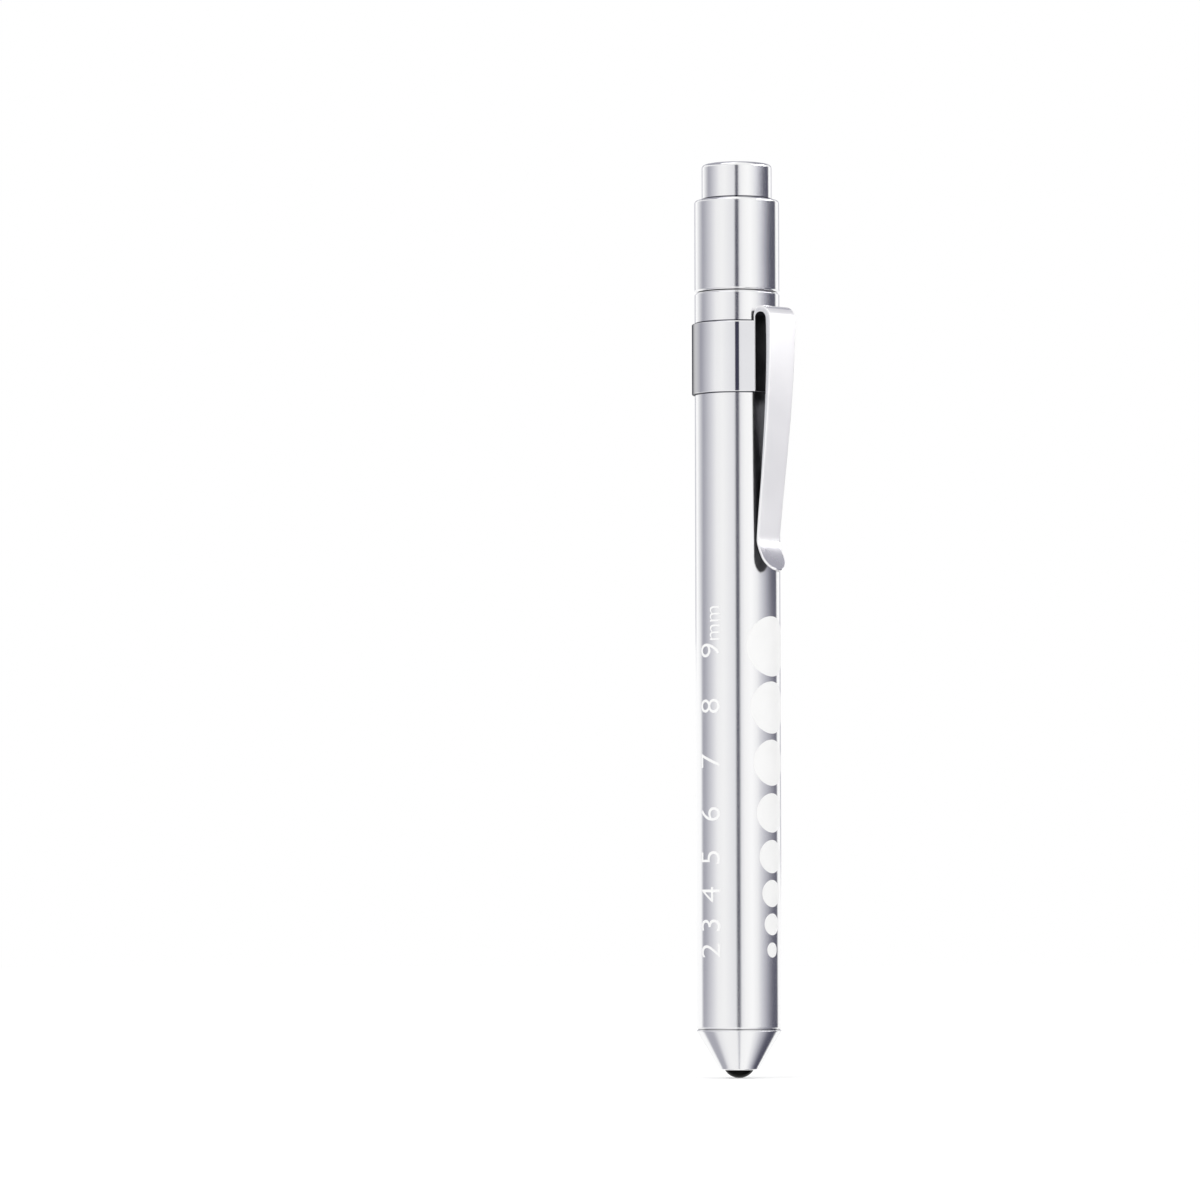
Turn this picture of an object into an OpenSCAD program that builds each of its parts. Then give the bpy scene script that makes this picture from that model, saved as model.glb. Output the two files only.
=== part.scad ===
// Pocket penlight: a metal tube with two cells, a cone nose, a sheet clip and a tail push button.
// Lengths are in millimetres. The lamp's dome touches the ground at the origin, and the tail is up.
// The clip lies towards +X.

/* [Barrel] */
// wall of the barrel round the cells
barrel_wall = 0.8; // [0.7:0.05:1.2]
// room in diameter between the cells and the bore
cell_play = 0.7; // [0.4:0.05:1]
// how far the wider mouth for the thread is cut into the wall
mouth_step = 0.25; // [0.15:0.05:0.4]
// chamfer on the turned edges of barrel, nose and cap
edge_c = 0.25; // [0.1:0.05:0.4]

/* [Nose] */
// height of the cone from lip to shoulder
cone_h = 6; // [5:0.25:8]
// wall of the lip round the lamp
lip_wall = 0.84; // [0.6:0.02:1.2]
// round-off at the lip, taken as a chamfer
lip_c = 0.3; // [0.1:0.05:0.4]
// wall of the spigot
spigot_wall = 0.9; // [0.7:0.05:1.1]

/* [Lamp] */
// diameter of the lamp's round body and dome
lens_d = 5; // [4.6:0.1:5.2]
// how far the dome stands out of the lip
dome_out = 1.2; // [0.8:0.1:1.6]
// height of the lamp from its base to the top of the dome
lens_l = 8.6; // [8.2:0.1:9]
// how far the lamp's base flange stands out
flange_lip = 0.4; // [0.25:0.05:0.5]
// thickness of the base flange
flange_t = 1; // [0.8:0.1:1.2]
// thickness of the holder behind the lamp
holder_floor = 2.6; // [2:0.1:3.5]
// thickness of each lamp wire
lead_d = 0.5; // [0.4:0.05:0.6]
// distance between the two lamp wires
lead_pitch = 2.54; // [2.2:0.02:2.8]
// how far the wires stand out of the board
lead_out = 0.5; // [0.3:0.05:0.7]
// thickness of the ground ring
ground_t = 0.2; // [0.15:0.05:0.4]
// thickness of the lamp board
board_t = 1; // [0.8:0.1:1.6]
// distance from the contact cup to the chip resistor
chip_gap = 0.6; // [0.3:0.05:0.9]
// length of the chip resistor
chip_l = 2; // [1.6:0.1:2.2]
// width of the chip resistor
chip_w = 1.25; // [0.8:0.05:1.4]
// height of the chip resistor
chip_h = 0.5; // [0.4:0.05:0.6]
// outside diameter of the contact cup
contact_d = 4.8; // [4.4:0.1:5]
// height of the contact cup
contact_h = 1.5; // [1.3:0.1:2]
// sheet thickness of the contact cup
contact_t = 0.3; // [0.2:0.05:0.4]

/* [Cells] */
// diameter of each cell
cell_d = 10.3; // [10:0.1:10.5]
// length of each cell, nub included
cell_l = 44.5; // [43.5:0.1:44.5]
// diameter of the nub
nub_d = 3.8; // [3:0.1:4]
// height of the nub
nub_h = 1.2; // [0.8:0.1:1.5]
// chamfer at the cell's ends
cell_c = 0.4; // [0.2:0.05:0.6]

/* [Clip] */
// sheet thickness of the clip
clip_t = 0.4; // [0.3:0.05:0.5]
// height of the band
band_h = 10.8; // [8:0.2:11]
// distance from the band's top edge up to the barrel's end
band_drop = 4.4; // [4.2:0.1:7]
// width of the open seam at the back of the band
seam_w = 0.4; // [0.2:0.05:0.8]
// width of the clip at the bend
clip_w = 5.2; // [4.5:0.1:6]
// width of the arm near its end
arm_end_w = 4.4; // [3.8:0.1:5]
// inside radius of the folded bend on the band's side
bend_r = 1.1; // [0.9:0.02:1.5]
// inside radius of the folded bend on the arm's side
arm_bend_r = 1.7; // [1.2:0.05:2.2]
// straight rise from the band's top edge to the bend
bend_rise = 0.4; // [0.1:0.02:0.6]
// height of the arm from the bend down to where it nears the barrel
arm_l = 32.5; // [26:0.5:36]
// gap between arm and barrel at the nearest place
arm_gap = 0.1; // [0.06:0.02:0.3]
// height of the turned-out end
flare_h = 4.4; // [3.5:0.1:6]
// how far the end turns out
flare_out = 2.2; // [1.5:0.1:3]

/* [Tail] */
// length of the tail cap
cap_l = 13.8; // [13:0.1:16]
// wall of the tail cap
cap_wall = 0.65; // [0.55:0.05:0.75]
// thickness of the lip that holds the button in
cap_lip_t = 0.8; // [0.5:0.1:1.2]
// round-off at the cap's top edge
cap_round = 0.5; // [0.3:0.05:0.6]
// gap between cap and barrel
joint_gap = 0.12; // [0.06:0.02:0.2]
// room from the rear cell to the tail contact, filled by the spring
spring_room = 7.6; // [6.5:0.1:9]
// length of the thread that enters the barrel
thread_l = 6.3; // [5.5:0.1:6.6]
// length of the insert that is pressed into the cap
insert_up = 4.5; // [3.5:0.1:5.5]
// wall of the insert at the thread
insert_wall = 0.8; // [0.7:0.05:0.9]
// thickness of the rubber ring's section
ring_t = 0.48; // [0.4:0.02:0.56]

/* [Switch] */
// how far the button's foot reaches under the cap's lip
foot_lip = 0.4; // [0.25:0.05:0.5]
// height of the button above the cap
button_h = 5.4; // [5:0.1:7]
// round-off at the button's top edge
button_round = 0.8; // [0.4:0.1:1]
// wall of the button's side
button_wall = 0.9; // [0.7:0.05:1.1]
// thickness of the button's top
button_top_t = 1.2; // [1:0.1:1.6]
// thickness of the button's foot flange
foot_t = 1.2; // [0.8:0.1:1.4]
// travel of the button
travel = 2.2; // [1.8:0.1:2.3]
// diameter of the pin under the button
pin_d = 2.4; // [2:0.1:2.6]
// diameter of the boss that holds the pin
boss_d = 4; // [3.6:0.1:4.2]
// length of the boss
boss_l = 2; // [1.5:0.1:2.5]
// thickness of the guide's top flange
guide_flange_t = 1; // [0.8:0.1:1.2]
// thickness of the contact bridge
bridge_t = 0.5; // [0.4:0.05:0.6]
// room between the contact bridge and the guide's chamber
bridge_gap = 0.68; // [0.4:0.02:1]
// wall of the guide's skirt at the contact disc
skirt_wall = 0.55; // [0.4:0.05:0.7]
// width of the ledge above the contact disc
disc_ledge = 0.45; // [0.3:0.05:0.6]
// thickness of the tail contact disc
disc_t = 0.7; // [0.5:0.05:0.8]
// thickness of the retaining ring
keeper_t = 0.6; // [0.5:0.05:0.8]

/* [Springs] */
// wire of the tail spring
tail_wire = 0.7; // [0.5:0.05:0.8]
// mean diameter of the tail spring at the cell
tail_coil_d = 5.4; // [4.6:0.1:5.6]
// room between the tail spring and the retaining ring
coil_gap = 0.5; // [0.3:0.05:0.8]
// turns of the tail spring
tail_turns = 4; // [3:1:5]
// wire of the button spring
button_wire = 0.6; // [0.4:0.05:0.7]
// mean diameter of the button spring
button_coil_d = 6.2; // [5.6:0.1:6.6]
// turns of the button spring
button_turns = 6; // [5:1:8]

/* [Hidden] */
// clearance of pieces that are fixed to each other
fit = 0.02;
// clearance of pieces that slide or turn in each other
run = 0.05;
// overrun of cuts past a face
over = 1;
// smoothness of round features
$fn = 96;
// steps along the arm, the turned-out end and a rounded edge
arm_steps = 12;
flare_steps = 6;
round_steps = 6;
// sides of a spring wire and rings in one turn
wire_sides = 6;
turn_rings = 10;
// how the arm and the turned-out end curve
arm_power = 1.15;
flare_power = 1.4;
// share of the tail spring's diameter that is left at the disc
tail_taper_share = 0.9;

quarter = 90;
turn = 360;

cell_r = cell_d / 2;
bore_r = cell_r + cell_play / 2;
barrel_r = bore_r + barrel_wall;
mouth_r = bore_r + mouth_step;
lens_r = lens_d / 2;
flange_r = lens_r + flange_lip;
seat_r = lens_r + fit;
lip_r = sqrt(seat_r * seat_r - pow(lens_r - dome_out, 2)) + lip_wall;
pin_r = pin_d / 2;

// heights, from the ground up
shoulder_z = dome_out + cone_h;
lens_top = lens_l;
flange_z = lens_top - flange_t;
spigot_top = lens_top + holder_floor;
board_z = spigot_top + ground_t;
board_top = board_z + board_t;
front_z = board_top + contact_h;
rear_z = front_z + cell_l;
spring_z = rear_z + cell_l;
keeper_top = spring_z + spring_room;
disc_top = keeper_top + disc_t;
insert_low = keeper_top - keeper_t;
barrel_top = insert_low + thread_l;
cap_z = barrel_top + joint_gap;
cap_top = barrel_top + cap_l;
lip_z = cap_top - cap_lip_t;
insert_top = cap_z + insert_up;
mouth_z = insert_low - joint_gap - run;
bridge_low = disc_top + travel + joint_gap;
bridge_top = bridge_low + bridge_t;
guide_low = bridge_top + joint_gap;
guide_top = insert_top + guide_flange_t;
button_top = cap_top + button_h;
button_under = button_top - button_top_t;
foot_top = lip_z - joint_gap;
foot_z = foot_top - foot_t;
boss_z = button_under - boss_l;
band_top = barrel_top - band_drop;
band_z = band_top - band_h;
bend_z = band_top + bend_rise;
arm_z = bend_z + bend_r - arm_bend_r;
near_z = arm_z - arm_l;
tip_z = near_z - flare_h;

// radii and distances from the middle line
spigot_r = bore_r - fit;
hold_r = spigot_r - spigot_wall;
board_r = bore_r - run;
cap_bore_r = barrel_r - cap_wall;
thread_r = mouth_r - run;
insert_bore_r = thread_r - insert_wall;
insert_up_r = cap_bore_r - fit;
guide_r = insert_bore_r - fit;
chamber_r = guide_r - skirt_wall;
step_r = chamber_r - disc_ledge;
bridge_r = step_r - bridge_gap;
keeper_bore_r = tail_coil_d / 2 + tail_wire / 2 + coil_gap;
foot_r = cap_bore_r - run;
button_r = foot_r - foot_lip;
cap_hole_r = button_r + run;
button_in_r = button_r - button_wall;
contact_r = contact_d / 2;
chip_x = contact_r + chip_gap + chip_w / 2;
seal_r = mouth_r - fit - ring_t / 2;
groove_r = seal_r - ring_t / 2 - fit;
seal_z = barrel_top - edge_c - ring_t;
band_in_r = barrel_r + fit;
band_r = band_in_r + clip_t;
bend_d = band_r + bend_r;
arm_top_d = bend_d + arm_bend_r + clip_t;
arm_near_d = barrel_r + arm_gap + clip_t;
arm_fall = arm_top_d - arm_near_d;
tip_r = arm_end_w / 2;

// a straight tube from low to high
module tube(outer, inner, low, high) {
    translate([0, 0, low])
        difference() {
            cylinder(r = outer, h = high - low);
            translate([0, 0, -over])
                cylinder(r = inner, h = high - low + 2 * over);
        }
}

// a solid round bar from low to high
module bar(radius, low, high) {
    translate([0, 0, low])
        cylinder(r = radius, h = high - low);
}

// points of a quarter round at the outside of a turned edge, for a top edge
function top_round(radius, top, soft) =
    [for (i = [0:round_steps])
        [radius - soft + soft * cos(quarter * i / round_steps),
            top - soft + soft * sin(quarter * i / round_steps)]];

// a coil of round wire whose middle line runs from low to high
module coil(low_r, high_r, wire_r, low, high, turns) {
    count = turns * turn_rings;
    points = [for (i = [0:count])
        for (k = [0:wire_sides - 1])
            let (a = turn * i / turn_rings, b = turn * k / wire_sides)
            let (r = low_r + (high_r - low_r) * i / count + wire_r * cos(b))
            [r * cos(a), r * sin(a), low + (high - low) * i / count + wire_r * sin(b)]];
    near_end = [[for (k = [0:wire_sides - 1]) k]];
    far_end = [[for (k = [0:wire_sides - 1]) count * wire_sides + wire_sides - 1 - k]];
    sides = [for (i = [0:count - 1])
        for (k = [0:wire_sides - 1])
            let (n = (k + 1) % wire_sides)
            for (t = [0:1])
                t == 0
                ? [i * wire_sides + k, (i + 1) * wire_sides + k, (i + 1) * wire_sides + n]
                : [i * wire_sides + k, (i + 1) * wire_sides + n, i * wire_sides + n]];
    polyhedron(points = points, faces = concat(near_end, far_end, sides));
}

module barrel() {
    color([0.79, 0.79, 0.82])
        difference() {
            rotate_extrude()
                polygon([[0, shoulder_z], [barrel_r - edge_c, shoulder_z],
                    [barrel_r, shoulder_z + edge_c], [barrel_r, barrel_top - edge_c],
                    [barrel_r - edge_c, barrel_top], [0, barrel_top]]);
            bar(bore_r, shoulder_z - over, barrel_top);
            bar(mouth_r, mouth_z, barrel_top + over);
        }
}

module nose_cone() {
    color([0.79, 0.79, 0.82])
        difference() {
            rotate_extrude()
                polygon([[0, dome_out], [lip_r - lip_c, dome_out], [lip_r, dome_out + lip_c],
                    [barrel_r, shoulder_z - edge_c], [barrel_r - edge_c, shoulder_z],
                    [spigot_r, shoulder_z], [spigot_r, spigot_top], [0, spigot_top]]);
            translate([0, 0, lens_r])
                sphere(r = seat_r);
            bar(seat_r, lens_r, spigot_top);
            bar(hold_r, flange_z, spigot_top + over);
        }
}

module led_lens() {
    color([0.06, 0.06, 0.07])
        union() {
            intersection() {
                translate([0, 0, lens_r])
                    sphere(r = lens_r);
                bar(lens_r, 0, lens_r);
            }
            bar(lens_r, lens_r, lens_top);
            bar(flange_r, flange_z, lens_top);
        }
}

module led_leads() {
    color([0.8, 0.8, 0.8])
        for (side = [-1, 1])
            translate([0, side * lead_pitch / 2, 0])
                bar(lead_d / 2, lens_top, board_top + lead_out);
}

// the two holes through which the lamp wires pass
module lead_holes(low, high) {
    for (side = [-1, 1])
        translate([0, side * lead_pitch / 2, 0])
            bar(lead_d / 2 + run, low, high);
}

module led_holder() {
    color([0.12, 0.12, 0.13])
        difference() {
            bar(hold_r - fit, flange_z, spigot_top);
            bar(flange_r + run, flange_z - over, lens_top);
            lead_holes(flange_z, spigot_top + over);
        }
}

module ground_ring() {
    color([0.75, 0.6, 0.3])
        tube(board_r, hold_r, spigot_top, board_z);
}

module lamp_board() {
    color([0.1, 0.35, 0.18])
        difference() {
            bar(board_r, board_z, board_top);
            lead_holes(board_z - over, board_top + over);
        }
}

module lamp_resistor() {
    color([0.1, 0.1, 0.1])
        translate([-chip_x - chip_w / 2, -chip_l / 2, board_top])
            cube([chip_w, chip_l, chip_h]);
}

module lamp_contact() {
    color([0.75, 0.6, 0.3])
        difference() {
            bar(contact_r, board_top, front_z);
            bar(contact_r - contact_t, board_top - over, front_z - contact_t);
        }
}

// one cell with its nub down
module cell(low) {
    rotate_extrude()
        polygon([[0, low], [nub_d / 2, low], [nub_d / 2, low + nub_h],
            [cell_r - cell_c, low + nub_h], [cell_r, low + nub_h + cell_c],
            [cell_r, low + cell_l - cell_c], [cell_r - cell_c, low + cell_l], [0, low + cell_l]]);
}

module front_cell() {
    color([0.2, 0.22, 0.26])
        cell(front_z);
}

module rear_cell() {
    color([0.2, 0.22, 0.26])
        cell(rear_z);
}

// one quarter of the folded bend, from a turn of start on
module fold(radius, height, start) {
    translate([bend_d, clip_w / 2, height])
        rotate([quarter, 0, 0])
            rotate([0, 0, start])
                rotate_extrude(angle = quarter)
                    translate([radius, 0])
                        square([clip_t, clip_w]);
}

module clip_band() {
    color([0.86, 0.86, 0.88])
        union() {
            difference() {
                tube(band_r, band_in_r, band_z, band_top);
                translate([-band_r - over, -seam_w / 2, band_z - over])
                    cube([band_r, seam_w, band_h + 2 * over]);
            }
            translate([band_in_r, -clip_w / 2, band_z])
                cube([clip_t, clip_w, bend_z - band_z]);
            fold(bend_r, bend_z, quarter);
            fold(arm_bend_r, arm_z, 0);
        }
}

// distance of the arm's outer face from the middle line, and its slope, by share of the way up
function arm_d(s) = arm_near_d + arm_fall * sin(quarter * pow(s, arm_power));
function arm_slope(s) = arm_fall * cos(quarter * pow(s, arm_power)) * PI / 2
    * arm_power * pow(s, arm_power - 1) / arm_l;
// the same for the turned-out end, by share of the way down
function flare_d(u) = arm_near_d + flare_out * pow(u, flare_power);
function flare_slope(u) = -flare_out * flare_power * pow(u, flare_power - 1) / flare_h;
// the point one sheet thickness inside a point of the outer face
function inside(d, z, slope) =
    [d - clip_t / sqrt(1 + slope * slope), z + clip_t * slope / sqrt(1 + slope * slope)];

module arm_side() {
    outer = concat(
        [for (i = [arm_steps:-1:0]) [arm_d(i / arm_steps), near_z + arm_l * i / arm_steps]],
        [for (i = [1:flare_steps]) [flare_d(i / flare_steps), near_z - flare_h * i / flare_steps]]);
    inner = concat(
        [for (i = [flare_steps:-1:1])
            inside(flare_d(i / flare_steps), near_z - flare_h * i / flare_steps,
                flare_slope(i / flare_steps))],
        [for (i = [0:arm_steps])
            inside(arm_d(i / arm_steps), near_z + arm_l * i / arm_steps,
                arm_slope(i / arm_steps))]);
    polygon(concat(outer, inner));
}

module clip_arm() {
    color([0.86, 0.86, 0.88])
        translate([0, 0, -fit])
            intersection() {
                translate([0, clip_w / 2, 0])
                    rotate([quarter, 0, 0])
                        linear_extrude(height = clip_w)
                            arm_side();
                union() {
                    rotate([quarter, 0, quarter])
                        linear_extrude(height = arm_top_d + over)
                            polygon([[-clip_w / 2, arm_z + over], [-tip_r, tip_z + tip_r],
                                [tip_r, tip_z + tip_r], [clip_w / 2, arm_z + over]]);
                    translate([0, 0, tip_z + tip_r])
                        rotate([0, quarter, 0])
                            cylinder(r = tip_r, h = arm_top_d + over);
                }
            }
}

module tail_spring() {
    color([0.8, 0.8, 0.82])
        coil(tail_coil_d / 2, tail_coil_d / 2 * tail_taper_share, tail_wire / 2,
            spring_z + tail_wire / 2, keeper_top - tail_wire / 2, tail_turns);
}

module tail_cap() {
    color([0.79, 0.79, 0.82])
        difference() {
            rotate_extrude()
                polygon(concat([[0, cap_z], [barrel_r - edge_c, cap_z], [barrel_r, cap_z + edge_c]],
                    top_round(barrel_r, cap_top, cap_round), [[0, cap_top]]));
            bar(cap_bore_r, cap_z - over, lip_z);
            bar(cap_hole_r, cap_z, cap_top + over);
        }
}

module thread_insert() {
    color([0.75, 0.6, 0.3])
        difference() {
            union() {
                bar(thread_r, insert_low, cap_z);
                bar(insert_up_r, cap_z, insert_top);
            }
            bar(insert_bore_r, insert_low - over, insert_top + over);
            tube(barrel_r, groove_r, seal_z - ring_t / 2 - fit, seal_z + ring_t / 2 + fit);
        }
}

module seal_ring() {
    color([0.08, 0.08, 0.08])
        translate([0, 0, seal_z])
            rotate_extrude()
                translate([seal_r, 0])
                    circle(r = ring_t / 2);
}

module switch_body() {
    color([0.1, 0.1, 0.11])
        difference() {
            union() {
                bar(guide_r, keeper_top, insert_top);
                bar(foot_r, insert_top, guide_top);
            }
            bar(chamber_r, keeper_top - over, disc_top);
            bar(step_r, keeper_top, guide_low);
            bar(pin_r + run, guide_low - over, guide_top + over);
        }
}

module tail_contact() {
    color([0.75, 0.6, 0.3])
        bar(chamber_r - fit, keeper_top, disc_top);
}

module switch_retainer() {
    color([0.75, 0.6, 0.3])
        tube(guide_r, keeper_bore_r, insert_low, keeper_top);
}

module push_button() {
    color([0.79, 0.79, 0.82])
        union() {
            difference() {
                rotate_extrude()
                    polygon(concat([[0, foot_z], [foot_r, foot_z], [foot_r, foot_top],
                        [button_r, foot_top]],
                        top_round(button_r, button_top, button_round), [[0, button_top]]));
                bar(button_in_r, foot_z - over, button_under);
            }
            tube(boss_d / 2, pin_r, boss_z, button_under);
        }
}

module switch_plunger() {
    color([0.75, 0.6, 0.3])
        bar(pin_r, bridge_low, button_under);
}

module contact_bridge() {
    color([0.8, 0.8, 0.8])
        tube(bridge_r, pin_r + fit, bridge_low, bridge_top);
}

module button_spring() {
    color([0.8, 0.8, 0.82])
        coil(button_coil_d / 2, button_coil_d / 2, button_wire / 2,
            guide_top + button_wire / 2, button_under - button_wire / 2, button_turns);
}

barrel();
nose_cone();
led_lens();
led_leads();
led_holder();
ground_ring();
lamp_board();
lamp_resistor();
lamp_contact();
front_cell();
rear_cell();
clip_band();
clip_arm();
tail_spring();
tail_cap();
thread_insert();
seal_ring();
switch_body();
tail_contact();
switch_retainer();
push_button();
switch_plunger();
contact_bridge();
button_spring();
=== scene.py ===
# %% [markdown]
# # A pocket penlight, dressed over its CAD frame
# The torch is an aluminium tube with a cone nose, a sheet-metal clip and a push button at the tail.
# The CAD parts fix every size. Here they get fine round surfaces, print and finishes.
# Blender works in metres, but a torch is drawn in millimetres, so shapes are drawn in
# millimetres and made small at the very end.

# %% Load the frame
import math

import bmesh
import bpy
from mathutils import Matrix


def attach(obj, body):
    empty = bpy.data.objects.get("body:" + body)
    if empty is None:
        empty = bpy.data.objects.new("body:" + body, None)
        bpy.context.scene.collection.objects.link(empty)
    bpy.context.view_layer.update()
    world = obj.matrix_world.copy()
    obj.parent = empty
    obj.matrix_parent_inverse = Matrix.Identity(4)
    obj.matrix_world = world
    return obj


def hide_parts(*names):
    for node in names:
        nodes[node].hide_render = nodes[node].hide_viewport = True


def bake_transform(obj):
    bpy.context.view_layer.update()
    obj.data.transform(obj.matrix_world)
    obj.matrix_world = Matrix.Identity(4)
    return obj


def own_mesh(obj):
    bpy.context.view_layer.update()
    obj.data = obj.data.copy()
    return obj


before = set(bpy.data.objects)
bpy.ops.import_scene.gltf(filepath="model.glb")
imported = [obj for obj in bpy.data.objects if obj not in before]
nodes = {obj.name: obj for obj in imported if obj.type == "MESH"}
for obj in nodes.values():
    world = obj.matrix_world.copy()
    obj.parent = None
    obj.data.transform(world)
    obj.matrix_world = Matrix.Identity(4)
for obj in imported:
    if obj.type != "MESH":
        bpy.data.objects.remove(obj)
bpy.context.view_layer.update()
scene = bpy.context.scene
scene.view_settings.view_transform = "Standard"
MM = 0.001

# %% [markdown]
# ## The camera
# The torch was photographed from far away with a long lens, so its edges stay almost parallel.
# The upper rims show their undersides, so the lens stood low, near the nose, and looked a bit up.
# The torch sits right of the middle of the picture: the camera is turned to the left of it
# instead of shifting the lens, so other views keep the torch in the middle.

# %% Place the camera
VIEW_AZIMUTH = 47.0
LENS_DISTANCE = 0.8878
LENS_HEIGHT = 0.020
LOOK_UP = 3.267
LOOK_LEFT = 1.324
LENS_ROLL = 0.10
SENSOR_WIDTH = 36.0
FOCAL_LENGTH = 180.0

view_turn = math.radians(VIEW_AZIMUTH)
lens = bpy.data.cameras.new("long_lens")
lens.sensor_width = SENSOR_WIDTH
lens.lens = FOCAL_LENGTH
camera = bpy.data.objects.new("camera", lens)
camera.location = (LENS_DISTANCE * math.sin(view_turn),
                   -LENS_DISTANCE * math.cos(view_turn), LENS_HEIGHT)
camera.rotation_euler = (math.radians(90 + LOOK_UP), math.radians(LENS_ROLL),
                         math.radians(VIEW_AZIMUTH + LOOK_LEFT))
scene.collection.objects.link(camera)
scene.camera = camera
print("camera at", [round(c, 3) for c in camera.location])

# %% [markdown]
# ## Light from everywhere
# Polished and satin metal has no colour of its own to speak of: it shows the room.
# So the room is white paper on all sides, which is a plain white world of strength 1.
# A white print on the barrel then renders as white as it is written, and no lamp has to be strong.

# %% White world
world = bpy.data.worlds.new("white_room")
world.use_nodes = True
room = world.node_tree.nodes["Background"]
room.inputs["Color"].default_value = (1.0, 1.0, 1.0, 1.0)
room.inputs["Strength"].default_value = 1.0
scene.world = world
print("world:", world.name)

# %% [markdown]
# ## One soft lamp
# A large lamp above and to the left of the camera gives the edges a small bright line
# and lets the torch drop a faint shadow. It is big, so that shadow has no hard edge.

# %% Soft lamp
LAMP_SIZE = 0.8
LAMP_WATTS = 2.0
LAMP_PLACE = (0.10, -0.78, 1.10)
LAMP_TILT = 35.0
LAMP_TURN = 7.0
soft_box = bpy.data.lights.new("soft_box", "AREA")
soft_box.shape = "SQUARE"
soft_box.size = LAMP_SIZE
soft_box.energy = LAMP_WATTS
lamp = bpy.data.objects.new("soft_box", soft_box)
lamp.location = LAMP_PLACE
lamp.rotation_euler = (math.radians(LAMP_TILT), 0.0, math.radians(LAMP_TURN))
scene.collection.objects.link(lamp)
print("lamp size", soft_box.size, "m")

# %% [markdown]
# ## The floor
# A white disc under the nose. Its colour alone makes it pale; a little glow that only the camera,
# mirrors and glass see lifts it to the white of the room, so no horizon line shows.
# The disc still darkens where the torch takes its light away, so the shadow stays.

# %% White floor
def joined_shader(material, first, second):
    """Adds two shaders and sends them to the material's output."""
    tree = material.node_tree
    both = tree.nodes.new("ShaderNodeAddShader")
    tree.links.new(first.outputs[0], both.inputs[0])
    tree.links.new(second.outputs[0], both.inputs[1])
    tree.links.new(both.outputs[0], tree.nodes["Material Output"].inputs["Surface"])


def seen_directly(tree):
    """A socket that is 1 for camera, mirror and glass rays."""
    path = tree.nodes.new("ShaderNodeLightPath")
    one = tree.nodes.new("ShaderNodeMath")
    one.operation = "MAXIMUM"
    two = tree.nodes.new("ShaderNodeMath")
    two.operation = "MAXIMUM"
    tree.links.new(path.outputs["Is Camera Ray"], one.inputs[0])
    tree.links.new(path.outputs["Is Glossy Ray"], one.inputs[1])
    tree.links.new(one.outputs[0], two.inputs[0])
    tree.links.new(path.outputs["Is Transmission Ray"], two.inputs[1])
    return two.outputs[0]


FLOOR_RADIUS = 4.0
FLOOR_GREY = 0.9
FLOOR_GLOW = 0.15
FLOOR_POINTS = 96
floor_paint = bpy.data.materials.new("floor_paper")
floor_paint.use_nodes = True
tree = floor_paint.node_tree
tree.nodes.remove(tree.nodes["Principled BSDF"])
paper = tree.nodes.new("ShaderNodeBsdfDiffuse")
paper.inputs["Color"].default_value = (FLOOR_GREY, FLOOR_GREY, FLOOR_GREY, 1.0)
lift = tree.nodes.new("ShaderNodeEmission")
share = tree.nodes.new("ShaderNodeMath")
share.operation = "MULTIPLY"
share.inputs[1].default_value = FLOOR_GLOW
tree.links.new(seen_directly(tree), share.inputs[0])
tree.links.new(share.outputs[0], lift.inputs["Strength"])
joined_shader(floor_paint, paper, lift)

bm = bmesh.new()
bmesh.ops.create_circle(bm, cap_ends=True, segments=FLOOR_POINTS, radius=FLOOR_RADIUS)
floor_mesh = bpy.data.meshes.new("floor")
bm.to_mesh(floor_mesh)
bm.free()
floor_mesh.materials.append(floor_paint)
floor = bpy.data.objects.new("floor", floor_mesh)
floor.visible_glossy = False
scene.collection.objects.link(floor)
print("floor radius", FLOOR_RADIUS, "m")

# %% [markdown]
# ## Grey cards for the metal to mirror
# In an all-white room a metal tube nearly disappears. A photographer hangs grey and black cards
# round it: they are out of the picture, but the metal shows them as long soft stripes.
# Rings of paper round the torch do it here. A radial gradient runs once round each ring,
# and a colour ramp says how grey the paper is in each direction, counted from the camera.
# There are three rings, one above the other, for the nose, the gauge and the clip. Beside the gauge
# the right side is paler, because the white print lights it up.
# The rings are hidden from the camera and from soft light, so only mirrors see them.

# %% Ring of cards
COOL_MID = 0.16
COOL_DARK = 0.025
CARD_STEPS = 144
FULL_TURN = 2 * math.pi


def card_tone(grey):
    """Grey paper is a little cooler than white paper."""
    cool = (COOL_MID * grey + COOL_DARK) * max(0.0, 1.0 - grey)
    return grey, grey, grey + cool


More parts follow.
